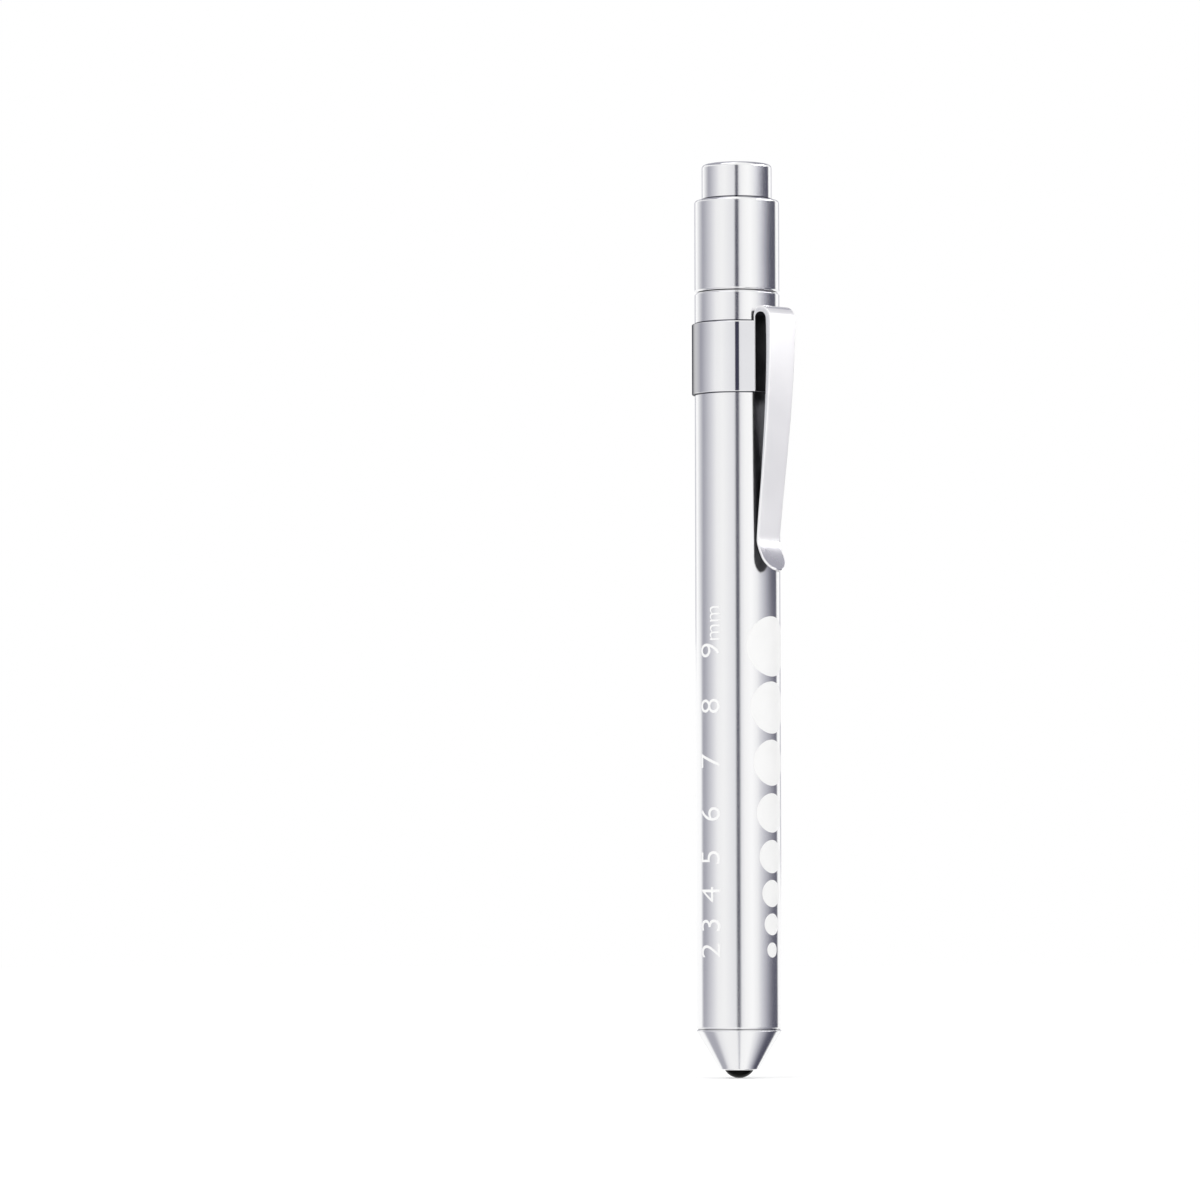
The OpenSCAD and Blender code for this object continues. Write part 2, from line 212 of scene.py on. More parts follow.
def card_paint(name, greys, glow):
    """Glowing paper whose grey changes with the direction, in degrees right of the camera."""
    paint = bpy.data.materials.new(name)
    paint.use_nodes = True
    tree = paint.node_tree
    tree.nodes.remove(tree.nodes["Principled BSDF"])
    place = tree.nodes.new("ShaderNodeTexCoord")
    turned = tree.nodes.new("ShaderNodeMapping")
    turned.inputs["Rotation"].default_value[2] = math.radians(90 - VIEW_AZIMUTH)
    round_about = tree.nodes.new("ShaderNodeTexGradient")
    round_about.gradient_type = "RADIAL"
    ramp = tree.nodes.new("ShaderNodeValToRGB")
    stops = ramp.color_ramp.elements
    while len(stops) > 1:
        stops.remove(stops[-1])
    for i, (degrees, grey) in enumerate(greys):
        at = 0.5 + degrees / 360
        stop = stops[0] if i == 0 else stops.new(at)
        stop.position = at
        stop.color = (*(part / glow for part in card_tone(grey)), 1.0)
    light = tree.nodes.new("ShaderNodeEmission")
    light.inputs["Strength"].default_value = glow
    tree.links.new(place.outputs["Object"], turned.inputs["Vector"])
    tree.links.new(turned.outputs["Vector"], round_about.inputs["Vector"])
    tree.links.new(round_about.outputs["Fac"], ramp.inputs["Fac"])
    tree.links.new(ramp.outputs["Color"], light.inputs["Color"])
    tree.links.new(light.outputs[0], tree.nodes["Material Output"].inputs["Surface"])
    return paint


def hang_card(name, side_line, paint):
    """Spins a side line of (radius, height) in metres into a ring that only mirrors see."""
    bm = bmesh.new()
    points = [bm.verts.new((r, 0.0, z)) for r, z in side_line]
    for low, high in zip(points, points[1:]):
        bm.edges.new((low, high))
    bmesh.ops.spin(bm, geom=bm.verts[:] + bm.edges[:], cent=(0, 0, 0), axis=(0, 0, 1),
                   angle=FULL_TURN, steps=CARD_STEPS, use_merge=True)
    mesh = bpy.data.meshes.new(name)
    bm.to_mesh(mesh)
    bm.free()
    mesh.materials.append(paint)
    card = bpy.data.objects.new(name, mesh)
    card.visible_camera = False
    card.visible_diffuse = False
    card.visible_shadow = False
    scene.collection.objects.link(card)


CARD_RADIUS = 2.0
CARD_GLOW = 1.1
WALL_LOW = -0.11
GAUGE_LOW = 0.052
GAUGE_HIGH = 0.163
WALL_HIGH = 0.56
WHITE_LEFT = [(-180, 1.08), (-122, 1.08), (-111, 0.38)]
GREY_LEFT = [(-180, 0.6), (-156, 0.6), (-150, 1.08), (-140, 1.08)]
FRONT = [(-107, 0.40), (-99, 0.44), (-77, 0.69), (-58, 0.95), (-40, 1.0), (-23, 0.91),
         (-5.8, 0.82), (-4.7, 0.05), (4.5, 0.05), (5.6, 0.82), (12, 0.92), (20, 1.02), (37, 1.08),
         (54, 0.94)]
DARK_RIGHT = [(62, 0.76), (73, 0.54), (80, 0.40), (88, 0.265), (96, 0.16), (104, 0.10),
              (127, 0.085), (131, 1.08), (152, 1.08)]
PALE_RIGHT = [(62, 0.78), (73, 0.68), (84, 0.62), (92, 0.55), (100, 0.46), (110, 0.32),
              (118, 0.23), (127, 0.20), (131, 1.08), (150, 1.08)]
WALLS = {"nose": (WALL_LOW, GAUGE_LOW, WHITE_LEFT + FRONT + DARK_RIGHT + [(180, 1.08)]),
         "gauge": (GAUGE_LOW, GAUGE_HIGH, WHITE_LEFT + FRONT + PALE_RIGHT
                   + [(158, 0.55), (168, 0.55), (180, 1.08)]),
         "clip": (GAUGE_HIGH, WALL_HIGH, GREY_LEFT + FRONT + DARK_RIGHT
                  + [(158, 0.6), (180, 0.6)])}
for place, (low_edge, high_edge, greys) in WALLS.items():
    hang_card(f"card_ring_{place}", [(CARD_RADIUS, low_edge), (CARD_RADIUS, high_edge)],
              card_paint(f"card_greys_{place}", greys, CARD_GLOW))
    print("card ring", place, len(greys), "greys")

# %% [markdown]
# ## Cards for the nose
# The cone of the nose looks down, so it mirrors what lies low around the torch.
# A bowl of paper under the floor carries the greys for it.

# %% Bowl of cards under the nose
BOWL_GREYS = [(-180, 1.08), (-134, 1.08), (-124, 0.42), (-99, 0.44), (-84, 0.86), (-60, 0.98),
              (-6, 0.97), (-4, 0.50), (4, 0.50), (6, 1.0), (54, 1.05), (75, 0.77), (93, 0.43),
              (110, 0.13), (120, 0.09), (134, 0.09), (139, 1.08), (180, 1.08)]
BOWL_LINE = [(2.0, -0.5), (1.9, -1.2), (1.4, -1.8), (0.6, -2.1)]
hang_card("card_bowl", BOWL_LINE, card_paint("bowl_greys", BOWL_GREYS, CARD_GLOW))
print("bowl:", len(BOWL_GREYS), "greys")

# %% [markdown]
# ## Cards higher up
# Rounded top edges and the clip's turned-out end look upwards. A bright strip to the right puts
# a line of light on the clip where its arm comes nearest to the barrel, and grey paper above it
# and behind the torch draws the top rims as thin grey lines. A low grey card on the same side
# darkens the clip's arm towards its lower end, which leans a little downwards.

# %% Strip light and high cards
STRIP_GLOW = 5.2
STRIP_GREYS = [(-180, 0.5), (-152, 0.5), (-146, 1.0), (56, 1.0), (66, STRIP_GLOW),
               (108, STRIP_GLOW), (118, 1.0), (146, 1.0), (152, 0.5), (180, 0.5)]
HIGH_GREYS = [(-180, 0.5), (-140, 0.4), (-40, 0.4), (-20, 1.0), (64, 1.0), (78, 0.34),
              (150, 0.34), (156, 0.5), (180, 0.5)]
LOW_GREYS = [(-180, 1.0), (48, 1.0), (60, 0.2), (122, 0.2), (130, 1.0), (180, 1.0)]
STRIP_LINE = [(CARD_RADIUS, WALL_HIGH + 0.02), (CARD_RADIUS, 1.10)]
HIGH_LINE = [(CARD_RADIUS, 1.14), (1.6, 2.1), (1.0, 2.8), (0.2, 3.1)]
LOW_LINE = [(CARD_RADIUS, -0.49), (CARD_RADIUS, WALL_LOW - 0.01)]
hang_card("card_strip", STRIP_LINE, card_paint("strip_greys", STRIP_GREYS, STRIP_GLOW))
hang_card("card_high", HIGH_LINE, card_paint("high_greys", HIGH_GREYS, 1.0))
hang_card("card_low", LOW_LINE, card_paint("low_greys", LOW_GREYS, 1.0))
print("high and low cards:", len(STRIP_GREYS) + len(HIGH_GREYS) + len(LOW_GREYS), "greys")

# %% [markdown]
# ## Grain that several finishes share
# No real surface is one flat value. Metal has a fine tooth from blasting or rolling, plastic has
# a faint pebble, paint has orange peel. One node group makes all of them: a fine noise for the
# tooth and a broad one for the slow change of tone and gloss. Each material gives it its own
# colours, sizes and gloss limits. It reads Object coordinates, so the grain stays put on the piece.

# %% Shared grain group
FINE_SHARE = 0.35
GLOSS_FROM = 0.3
GLOSS_TO = 0.7


def make_grain_group():
    """A group with tones, gloss limits and sizes in, and colour, roughness and height out."""
    group = bpy.data.node_groups.new("surface_grain", "ShaderNodeTree")
    sockets = group.interface
    for name, kind, value in (("Tone low", "NodeSocketColor", (0.5, 0.5, 0.5, 1.0)),
                              ("Tone high", "NodeSocketColor", (0.6, 0.6, 0.6, 1.0)),
                              ("Fine scale", "NodeSocketFloat", 6000.0),
                              ("Broad scale", "NodeSocketFloat", 90.0),
                              ("Rough low", "NodeSocketFloat", 0.3),
                              ("Rough high", "NodeSocketFloat", 0.4)):
        sockets.new_socket(name, in_out="INPUT", socket_type=kind).default_value = value
    for name, kind in (("Colour", "NodeSocketColor"), ("Roughness", "NodeSocketFloat"),
                       ("Height", "NodeSocketFloat")):
        sockets.new_socket(name, in_out="OUTPUT", socket_type=kind)
    put, link = group.nodes.new, group.links.new
    inside, outside = put("NodeGroupInput"), put("NodeGroupOutput")
    place = put("ShaderNodeTexCoord")
    fine, broad = put("ShaderNodeTexNoise"), put("ShaderNodeTexNoise")
    fine.inputs["Detail"].default_value = 2.0
    broad.inputs["Detail"].default_value = 4.0
    blend = put("ShaderNodeMath")
    blend.operation = "MULTIPLY_ADD"
    blend.inputs[1].default_value = FINE_SHARE
    tone = put("ShaderNodeMix")
    tone.data_type = "RGBA"
    gloss = put("ShaderNodeMapRange")
    for noise, size in ((fine, "Fine scale"), (broad, "Broad scale")):
        link(place.outputs["Object"], noise.inputs["Vector"])
        link(inside.outputs[size], noise.inputs["Scale"])
    link(fine.outputs["Fac"], blend.inputs[0])
    link(broad.outputs["Fac"], blend.inputs[2])
    link(blend.outputs[0], tone.inputs["Factor"])
    link(inside.outputs["Tone low"], tone.inputs["A"])
    link(inside.outputs["Tone high"], tone.inputs["B"])
    link(broad.outputs["Fac"], gloss.inputs["Value"])
    gloss.inputs["From Min"].default_value = GLOSS_FROM
    gloss.inputs["From Max"].default_value = GLOSS_TO
    link(inside.outputs["Rough low"], gloss.inputs["To Min"])
    link(inside.outputs["Rough high"], gloss.inputs["To Max"])
    link(tone.outputs["Result"], outside.inputs["Colour"])
    link(gloss.outputs["Result"], outside.inputs["Roughness"])
    link(fine.outputs["Fac"], outside.inputs["Height"])
    return group


grain_group = make_grain_group()
print("group:", grain_group.name)

# %% [markdown]
# ## A finish from the grain
# Every finish below is a Principled shader fed by that group. What is the same all over,
# such as full metal or a clear coat, is set on the shader itself, so an export keeps it.
# The band's chrome also gets a dark specular tint, which darkens a metal where it is seen edge-on.

# %% Finish helper
def finish_of(name, low, high, rough, fine=6000.0, broad=90.0, metallic=0.0, tooth=0.02,
              depth=0.00002, coat=0.0, specular=0.5):
    """A grained material: two tones, a pair of roughness limits, and a fine tooth as bump."""
    paint = bpy.data.materials.new(name)
    paint.use_nodes = True
    tree = paint.node_tree
    shader = tree.nodes["Principled BSDF"]
    shader.inputs["Metallic"].default_value = metallic
    shader.inputs["Coat Weight"].default_value = coat
    shader.inputs["Specular IOR Level"].default_value = specular
    grain = tree.nodes.new("ShaderNodeGroup")
    grain.node_tree = grain_group
    grain.name = "grain"
    grain.inputs["Tone low"].default_value = (*low, 1.0)
    grain.inputs["Tone high"].default_value = (*high, 1.0)
    grain.inputs["Fine scale"].default_value = fine
    grain.inputs["Broad scale"].default_value = broad
    grain.inputs["Rough low"].default_value = rough[0]
    grain.inputs["Rough high"].default_value = rough[1]
    bump = tree.nodes.new("ShaderNodeBump")
    bump.inputs["Strength"].default_value = tooth
    bump.inputs["Distance"].default_value = depth
    tree.links.new(grain.outputs["Colour"], shader.inputs["Base Color"])
    tree.links.new(grain.outputs["Roughness"], shader.inputs["Roughness"])
    tree.links.new(grain.outputs["Height"], bump.inputs["Height"])
    tree.links.new(bump.outputs["Normal"], shader.inputs["Normal"])
    return paint


band_chrome = finish_of("band_chrome", (0.82, 0.82, 0.83), (0.88, 0.88, 0.89), (0.045, 0.065),
                        fine=7000.0, broad=120.0, metallic=1.0, tooth=0.01)
CHROME_RIM = (0.1, 0.1, 0.11, 1.0)
chrome_shader = band_chrome.node_tree.nodes["Principled BSDF"]
chrome_shader.inputs["Specular Tint"].default_value = CHROME_RIM
clip_nickel = finish_of("clip_nickel", (0.94, 0.933, 0.94), (0.975, 0.965, 0.972), (0.38, 0.44),
                        fine=8000.0, broad=150.0, metallic=0.6, tooth=0.05)
clip_edge = finish_of("clip_edge", (0.93, 0.93, 0.94), (0.97, 0.97, 0.975), (0.18, 0.26),
                      fine=8000.0, broad=300.0, metallic=0.75, tooth=0.05)
clip_rubbed = finish_of("clip_rubbed", (0.90, 0.89, 0.90), (0.95, 0.94, 0.95), (0.24, 0.30),
                        fine=8000.0, broad=200.0, metallic=1.0, tooth=0.04)
# Near-black steel is painted shade: it stands for the shade inside the clip and in the gap of the
# cap's joint.
painted_shade_steel = finish_of("painted_shade_steel", (0.045, 0.045, 0.05), (0.085, 0.085, 0.09), (0.32, 0.45),
                       fine=5000.0, broad=300.0, metallic=1.0, tooth=0.06)
gauge_white = finish_of("gauge_white", (0.90, 0.90, 0.895), (0.94, 0.94, 0.935), (0.32, 0.42),
                        fine=7000.0, broad=400.0, tooth=0.04)
lamp_black = finish_of("lamp_black", (0.002, 0.002, 0.002), (0.005, 0.005, 0.005), (0.10, 0.16),
                       fine=3000.0, broad=300.0, tooth=0.01, specular=0.03)
turned_brass = finish_of("turned_brass", (0.70, 0.50, 0.22), (0.80, 0.62, 0.32), (0.20, 0.32),
                         fine=5000.0, broad=200.0, metallic=1.0, tooth=0.04)
ring_rubber = finish_of("ring_rubber", (0.012, 0.012, 0.012), (0.03, 0.03, 0.03), (0.55, 0.7),
                        fine=4000.0, broad=500.0, tooth=0.1)
print("finishes:", len(bpy.data.materials))

# %% [markdown]
# ## Satin aluminium with painted shade lines
# Barrel, nose, cap and button are blasted and anodised aluminium. Where two of them meet, and along
# the clip's band, a hair-thin line is painted dark into the colour as the shade that falls there.
# The lines are rings, so they only depend on the height. A small group turns a height into a mask,
# and each material places it once for each of its joints.

# %% Joint line group
LINE_CORE = 0.7
LINE_REACH = 1.3


def make_line_group():
    """A group that is 0 inside a ring of a given middle height and half height, and 1 outside."""
    group = bpy.data.node_groups.new("ring_mask", "ShaderNodeTree")
    for name, value in (("Middle", 0.1), ("Half", 0.0001)):
        group.interface.new_socket(name, in_out="INPUT",
                                   socket_type="NodeSocketFloat").default_value = value
    group.interface.new_socket("Clear", in_out="OUTPUT", socket_type="NodeSocketFloat")
    put, link = group.nodes.new, group.links.new
    inside, outside = put("NodeGroupInput"), put("NodeGroupOutput")
    place, axes = put("ShaderNodeTexCoord"), put("ShaderNodeSeparateXYZ")
    away, size, share = put("ShaderNodeMath"), put("ShaderNodeMath"), put("ShaderNodeMath")
    away.operation, size.operation, share.operation = "SUBTRACT", "ABSOLUTE", "DIVIDE"
    edge = put("ShaderNodeMapRange")
    edge.interpolation_type = "SMOOTHSTEP"
    edge.inputs["From Min"].default_value = LINE_CORE
    edge.inputs["From Max"].default_value = LINE_REACH
    link(place.outputs["Object"], axes.inputs[0])
    link(axes.outputs["Z"], away.inputs[0])
    link(inside.outputs["Middle"], away.inputs[1])
    link(away.outputs[0], size.inputs[0])
    link(size.outputs[0], share.inputs[0])
    link(inside.outputs["Half"], share.inputs[1])
    link(share.outputs[0], edge.inputs["Value"])
    link(edge.outputs["Result"], outside.inputs["Clear"])
    return group


line_group = make_line_group()


def clear_of_lines(tree, lines):
    """A socket that is 0 on the rings (middle, half height) in millimetres, and 1 elsewhere."""
    clear = None
    for middle, half in lines:
        line = tree.nodes.new("ShaderNodeGroup")
        line.node_tree = line_group
        line.inputs["Middle"].default_value = middle * MM
        line.inputs["Half"].default_value = half * MM
        if clear is None:
            clear = line.outputs["Clear"]
        else:
            both = tree.nodes.new("ShaderNodeMath")
            both.operation = "MULTIPLY"
            tree.links.new(clear, both.inputs[0])
            tree.links.new(line.outputs["Clear"], both.inputs[1])
            clear = both.outputs[0]
    return clear


def tint_lines(paint, lines, tint):
    """Gives a grained material another tone on some rings, and returns the mask."""
    tree = paint.node_tree
    clear = clear_of_lines(tree, lines)
    tone = tree.nodes.new("ShaderNodeMix")
    tone.data_type = "RGBA"
    tone.inputs["A"].default_value = (*tint, 1.0)
    tree.links.new(clear, tone.inputs["Factor"])
    tree.links.new(tree.nodes["grain"].outputs["Colour"], tone.inputs["B"])
    tree.links.new(tone.outputs["Result"], tree.nodes["Principled BSDF"].inputs["Base Color"])
    return clear


print("group:", line_group.name)

# %% [markdown]
# ## Two satin finishes
# Both are the same blasted aluminium. They differ only in where their painted shade lines lie:
# one is for the barrel and the nose, the other for the tail cap and the button.
# The heights are those at rest.

# %% Satin finishes
# The dark tone of these rings is painted shade, where the joints and the band's edges shade the
# metal.
PAINTED_SHADE_TONE = (0.10, 0.10, 0.12)


def satin(name, lines):
    """Satin aluminium with painted shade lines (middle, half height) in millimetres."""
    paint = finish_of(name, (0.865, 0.865, 0.87), (0.905, 0.905, 0.91), (0.135, 0.165),
                      fine=9000.0, broad=60.0, metallic=1.0)
    tint_lines(paint, lines, PAINTED_SHADE_TONE)
    return paint


NOSE_SHADE_LINE = (7.2, 0.035)
BAND_SHADE_LINES = [(101.02, 0.08), (111.65, 0.11)]
BUTTON_SHADE_LINE = (130.16, 0.14)
satin_barrel = satin("satin_barrel", [NOSE_SHADE_LINE] + BAND_SHADE_LINES)
satin_tail = satin("satin_tail", [BUTTON_SHADE_LINE])
print("finishes:", len(bpy.data.materials))

# %% [markdown]
# ## Turning on the lathe
# Barrel, cone, cap and button are turned parts. In Blender a lathe is the spin operator: an outline
# on one side of the middle line goes once round it. The corners are softened first, by bevelling
# the outline's own points, because a real tool never leaves a perfectly sharp edge
# and only a soft edge catches a line of light.

# %% Lathe helper
TURN_STEPS = 192
SOFT_STEPS = 4
SHARP_ANGLE = math.radians(32)
SAME_SPOT = 0.0005
NO_LENGTH = 0.0001


def close_up(bm):
    """Joins the seam and poles of a spun shape and turns its faces outwards."""
    bmesh.ops.remove_doubles(bm, verts=bm.verts[:], dist=SAME_SPOT)
    bmesh.ops.dissolve_degenerate(bm, edges=bm.edges[:], dist=NO_LENGTH)
    bmesh.ops.recalc_face_normals(bm, faces=bm.faces[:])


def make_piece(bm, name, paints, body, stands_for=()):
    """Writes a millimetre bmesh into an object in metres, dresses it and lets it ride."""
    bm.transform(Matrix.Scale(MM, 4))
    mesh = bpy.data.meshes.new(name)
    bm.to_mesh(mesh)
    bm.free()
    mesh.shade_smooth()
    mesh.set_sharp_from_angle(angle=SHARP_ANGLE)
    for paint in paints:
        mesh.materials.append(paint)
    piece = bpy.data.objects.new(name, mesh)
    scene.collection.objects.link(piece)
    if body:
        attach(piece, body)
    if stands_for:
        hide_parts(*stands_for)
    print(name, len(mesh.polygons), "faces")
    return piece


def turn_outline(outline):
    """Spins a closed outline of (radius, height, softness of that corner) about the middle line."""
    bm = bmesh.new()
    corners = [bm.verts.new((r, 0.0, z)) for r, z, soft in outline]
    for here, there in zip(corners, corners[1:] + corners[:1]):
        bm.edges.new((here, there))
    for size in sorted({soft for r, z, soft in outline if soft > 0}):
        soft_ones = [v for v, (r, z, soft) in zip(corners, outline) if soft == size]
        bmesh.ops.bevel(bm, geom=soft_ones, offset=size, offset_type="OFFSET", affect="VERTICES",
                        segments=SOFT_STEPS, profile=0.5, material=-1)
    bmesh.ops.spin(bm, geom=bm.verts[:] + bm.edges[:], cent=(0, 0, 0), axis=(0, 0, 1),
                   angle=FULL_TURN, steps=TURN_STEPS, use_merge=True)
    close_up(bm)
    return bm


# %% [markdown]
# ## The barrel
# A drawn tube, chamfered at both ends, with a wider mouth for the tail's thread.
# An extra ring next to each chamfer keeps the long wall's shading dead straight.
# The third number of each corner says how much it is softened: a hair, finely or softly.

# %% Turn the barrel
BARREL_R = 6.3
BORE_R = 5.5
MOUTH_R = 5.75
SHOULDER_Z = 7.2
BARREL_TOP = 116.2
MOUTH_Z = 109.73
EDGE_C = 0.25
HOLD = 0.12
HAIR = 0.03
FINE = 0.05
SOFT = 0.1
bm = turn_outline([
    (BORE_R, SHOULDER_Z, 0), (BARREL_R - EDGE_C, SHOULDER_Z, FINE),
    (BARREL_R, SHOULDER_Z + EDGE_C, FINE), (BARREL_R, SHOULDER_Z + EDGE_C + HOLD, 0),
    (BARREL_R, BARREL_TOP - EDGE_C - HOLD, 0), (BARREL_R, BARREL_TOP - EDGE_C, FINE),
    (BARREL_R - EDGE_C, BARREL_TOP, FINE), (MOUTH_R, BARREL_TOP, HAIR), (MOUTH_R, MOUTH_Z, 0),
    (BORE_R, MOUTH_Z, 0)])
make_piece(bm, "barrel_tube", [satin_barrel], "barrel", ["barrel"])

# %% [markdown]
# ## The nose
# A cone with a short lip, pressed into the barrel by a spigot. Inside it has a seat for the lamp's
# dome. The seat is two more corners of the outline.

# %% Turn the nose cone
LIP_Z = 1.2
LIP_R = 3.0
LIP_HOLE_R = 2.175
LIP_HOLE_SOFT = 0.06
LIP_CUT = 0.15
LIP_SOFT = 0.22
LIP_TALL = 0.3
CONE_HOLD = 0.08
CONE_RISE = 0.132
SEAT_R = 2.52
SEAT_LOW = 2.5
SEAT_CUP_R = 2.43
SEAT_CUP_Z = 1.85
SPIGOT_R = 5.48
SPIGOT_TOP = 11.2
HOLD_R = 4.58
FLANGE_Z = 7.6
bm = turn_outline([
    (LIP_HOLE_R, LIP_Z, LIP_HOLE_SOFT), (LIP_R - LIP_CUT, LIP_Z, LIP_SOFT),
    (LIP_R, LIP_Z + LIP_TALL, SOFT), (LIP_R + CONE_HOLD, LIP_Z + LIP_TALL + CONE_RISE, 0),
    (BARREL_R - CONE_HOLD, SHOULDER_Z - EDGE_C - CONE_RISE, 0),
    (BARREL_R, SHOULDER_Z - EDGE_C, FINE), (BARREL_R - EDGE_C, SHOULDER_Z, FINE),
    (SPIGOT_R, SHOULDER_Z, 0), (SPIGOT_R, SPIGOT_TOP, SOFT), (HOLD_R, SPIGOT_TOP, 0),
    (HOLD_R, FLANGE_Z, 0), (SEAT_R, FLANGE_Z, 0), (SEAT_R, SEAT_LOW, 0),
    (SEAT_CUP_R, SEAT_CUP_Z, 0)])
make_piece(bm, "nose_turned", [satin_barrel], "barrel", ["nose_cone"])

# %% [markdown]
# ## The lamp
# A round lamp in a dark epoxy body: dome, straight neck and base flange.
# The dome is half of a finely divided sphere: a sphere is cut through its middle,
# and its open rim is drawn up to make the neck and the flange.

# %% Make the lamp's dome
LENS_R = 2.5
FLANGE_R = 2.9
LENS_TOP = 8.6
DOME_ROUND = 96
DOME_RINGS = 48
PINHOLE = 0.02
bm = bmesh.new()
bmesh.ops.create_uvsphere(bm, u_segments=DOME_ROUND, v_segments=DOME_RINGS, radius=LENS_R)
bmesh.ops.bisect_plane(bm, geom=bm.verts[:] + bm.edges[:] + bm.faces[:], plane_co=(0, 0, 0),
                       plane_no=(0, 0, 1), clear_outer=True)
rim = [e for e in bm.edges if e.is_boundary]
for rise, spread in ((FLANGE_Z - LENS_R, 1.0), (0.0, FLANGE_R / LENS_R),
                     (LENS_TOP - FLANGE_Z, 1.0), (0.0, PINHOLE)):
    grown = bmesh.ops.extrude_edge_only(bm, edges=rim)["geom"]
    ring = [v for v in grown if isinstance(v, bmesh.types.BMVert)]
    bmesh.ops.translate(bm, verts=ring, vec=(0, 0, rise))
    bmesh.ops.scale(bm, verts=ring, vec=(spread, spread, 1))
    rim = [e for e in grown if isinstance(e, bmesh.types.BMEdge)]
bmesh.ops.contextual_create(bm, geom=rim)
bmesh.ops.translate(bm, verts=bm.verts[:], vec=(0, 0, LENS_R))
close_up(bm)
make_piece(bm, "lamp_dome", [lamp_black], "barrel", ["led_lens"])

# %% [markdown]
# ## The tail cap
# A short sleeve with the same width as the barrel. Its lower edge is chamfered like the barrel's,
# so the joint shows as a small groove; its top edge is rounded where a thumb lands.

# %% Turn the tail cap
CAP_Z = 116.32
CAP_TOP = 130.0
CAP_LIP_Z = 129.2
CAP_BORE_R = 5.65
CAP_HOLE_R = 5.25
CAP_EDGE = 0.34
bm = turn_outline([
    (CAP_BORE_R, CAP_Z, 0), (BARREL_R - EDGE_C, CAP_Z, FINE), (BARREL_R, CAP_Z + EDGE_C, FINE),
    (BARREL_R, CAP_Z + EDGE_C + HOLD, 0), (BARREL_R, CAP_TOP - CAP_EDGE - HOLD, 0),
    (BARREL_R, CAP_TOP, CAP_EDGE), (CAP_HOLE_R, CAP_TOP, SOFT), (CAP_HOLE_R, CAP_LIP_Z, FINE),
    (CAP_BORE_R, CAP_LIP_Z, 0)])
make_piece(bm, "tail_sleeve", [satin_tail], "tail_cap", ["tail_cap"])

# %% [markdown]
# ## The push button
# A hollow cup with a foot flange that the cap's lip holds in, and a boss inside for the switch pin.
# One closed outline runs down the outside, round the foot, up the inside and round the boss.

# %% Turn the push button
BUTTON_R = 5.2
BUTTON_TOP = 135.4
BUTTON_UNDER = 134.2
BUTTON_EDGE = 0.5
FOOT_R = 5.6
FOOT_Z = 127.88
FOOT_TOP = 129.08
BUTTON_IN_R = 4.3
BOSS_R = 2.0
PIN_R = 1.2
BOSS_Z = 132.2
bm = turn_outline([
    (0.0, BUTTON_TOP, 0), (BUTTON_R - BUTTON_EDGE - HOLD, BUTTON_TOP, 0),
    (BUTTON_R, BUTTON_TOP, BUTTON_EDGE), (BUTTON_R, BUTTON_TOP - BUTTON_EDGE - HOLD, 0),
    (BUTTON_R, FOOT_TOP + HOLD, 0), (BUTTON_R, FOOT_TOP, 0),
    (FOOT_R, FOOT_TOP, FINE), (FOOT_R, FOOT_Z, FINE), (BUTTON_IN_R, FOOT_Z, FINE),
    (BUTTON_IN_R, BUTTON_UNDER, SOFT), (BOSS_R, BUTTON_UNDER, 0), (BOSS_R, BOSS_Z, FINE),
    (PIN_R, BOSS_Z, 0), (PIN_R, BUTTON_UNDER, 0), (0.0, BUTTON_UNDER, 0)])
make_piece(bm, "button_cup", [satin_tail], "push_button", ["push_button"])

# %% [markdown]
# ## The threaded insert
# A brass tube pressed into the cap. Its lower end carries a screw thread, which shows when the cap
# is unscrewed. A screw thread is a lathe cut that climbs: the spin operator does it
# when it also moves a little upwards at each step. Above the seal ring the tube is painted near
# black as the shade in the gap, so the joint between cap and barrel shows a dark line and no brass.

# %% Turn the insert and wind its thread
THREAD_R = 5.70
THREAD_ROOT = 5.40
THREAD_PITCH = 0.75
INSERT_LOW = 109.9
INSERT_UP_R = 5.63
INSERT_TOP = 120.82
INSERT_BORE = 4.9
SEAL_Z = 115.47
SEAL_HALF = 0.26
GROOVE_R = 5.23
GROOVE_WALL = 0.2
WALL_R = THREAD_R - 0.02
INSERT_SOFT = 0.08
THREAD_TURNS = 6
THREAD_STEPS = 96
RIDGE_FOOT = THREAD_ROOT - 0.05
RIDGE_LOW = INSERT_LOW + 0.05
RIDGE = [(RIDGE_FOOT, 0.0), (THREAD_R, 0.26), (THREAD_R, 0.34), (RIDGE_FOOT, 0.6)]
PAINTED_SHADE_FROM = SEAL_Z + SEAL_HALF - 0.01
bm = turn_outline([
    (INSERT_BORE, INSERT_LOW, FINE), (THREAD_ROOT, INSERT_LOW, SOFT),
    (THREAD_ROOT, SEAL_Z - SEAL_HALF - GROOVE_WALL, 0),
    (WALL_R, SEAL_Z - SEAL_HALF - GROOVE_WALL, HAIR), (WALL_R, SEAL_Z - SEAL_HALF, HAIR),
    (GROOVE_R, SEAL_Z - SEAL_HALF, 0), (GROOVE_R, SEAL_Z + SEAL_HALF, 0),
    (WALL_R, SEAL_Z + SEAL_HALF, HAIR), (WALL_R, CAP_Z, HAIR), (INSERT_UP_R, CAP_Z, 0),
    (INSERT_UP_R, INSERT_TOP, INSERT_SOFT), (INSERT_BORE, INSERT_TOP, FINE)])
start = bm.faces.new([bm.verts.new((r, 0.0, RIDGE_LOW + up)) for r, up in RIDGE])
bmesh.ops.spin(bm, geom=[start] + start.edges[:] + start.verts[:], cent=(0, 0, 0),
               axis=(0, 0, 1), angle=FULL_TURN * THREAD_TURNS,
               steps=THREAD_STEPS * THREAD_TURNS, dvec=(0, 0, THREAD_PITCH / THREAD_STEPS))
